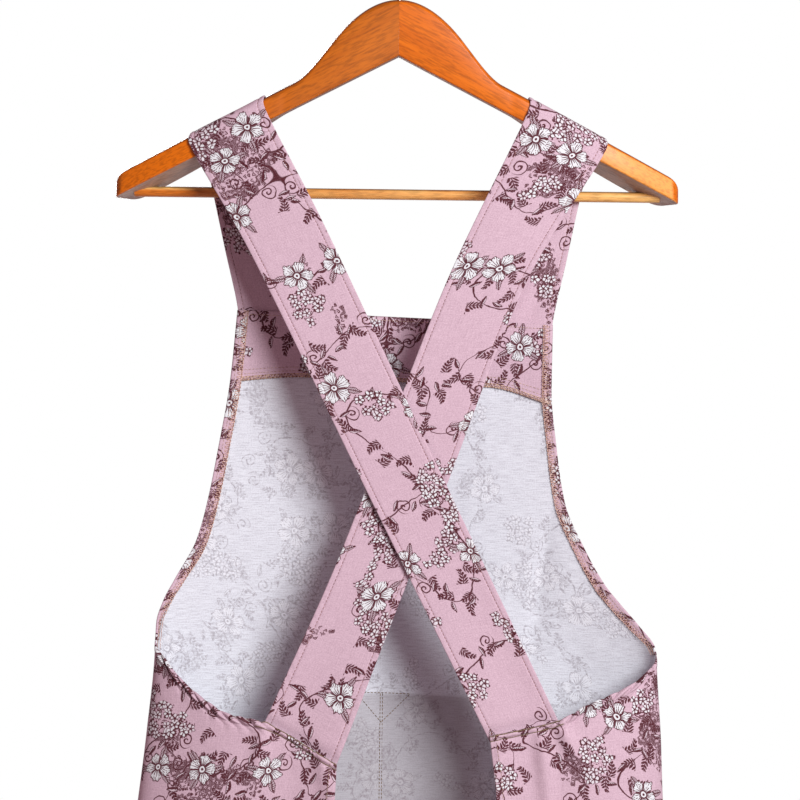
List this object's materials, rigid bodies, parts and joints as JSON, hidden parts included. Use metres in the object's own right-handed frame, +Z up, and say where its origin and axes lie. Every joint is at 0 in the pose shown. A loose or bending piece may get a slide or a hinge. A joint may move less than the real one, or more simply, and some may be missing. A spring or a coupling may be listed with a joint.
{
  "type": "cross-back apron on a coat hanger",
  "caption": "Printed cotton apron with wide shoulder straps that cross at the back, a faced bib, a divided front pocket and an open back, on a contoured wooden coat hanger.",
  "frame": {"origin": "inside top of the hanger's hook, where a rail bears", "axes": "+Z up, -Y towards the wearer's back with the crossed straps, +Y towards the front of the apron, +X to the wearer's right"},
  "size_m": [0.489, 0.1181, 1.0641],
  "materials": {
    "print_cotton": "plain-weave cotton, pink ground with burgundy and white print",
    "lacquered_wood": "clear gloss lacquer over orange-brown wood",
    "hook_steel": "bright plated wire"
  },
  "bodies": {
    "root": {"front_panel": "print_cotton", "back_panel_left": "print_cotton", "back_panel_right": "print_cotton", "bib_facing": "print_cotton", "front_pocket": "print_cotton", "strap_left": "print_cotton", "strap_right": "print_cotton", "hanger_arm_left": "lacquered_wood", "hanger_arm_right": "lacquered_wood", "hanger_bar": "lacquered_wood", "hanger_hook": "hook_steel"}
  },
  "joints": []
}
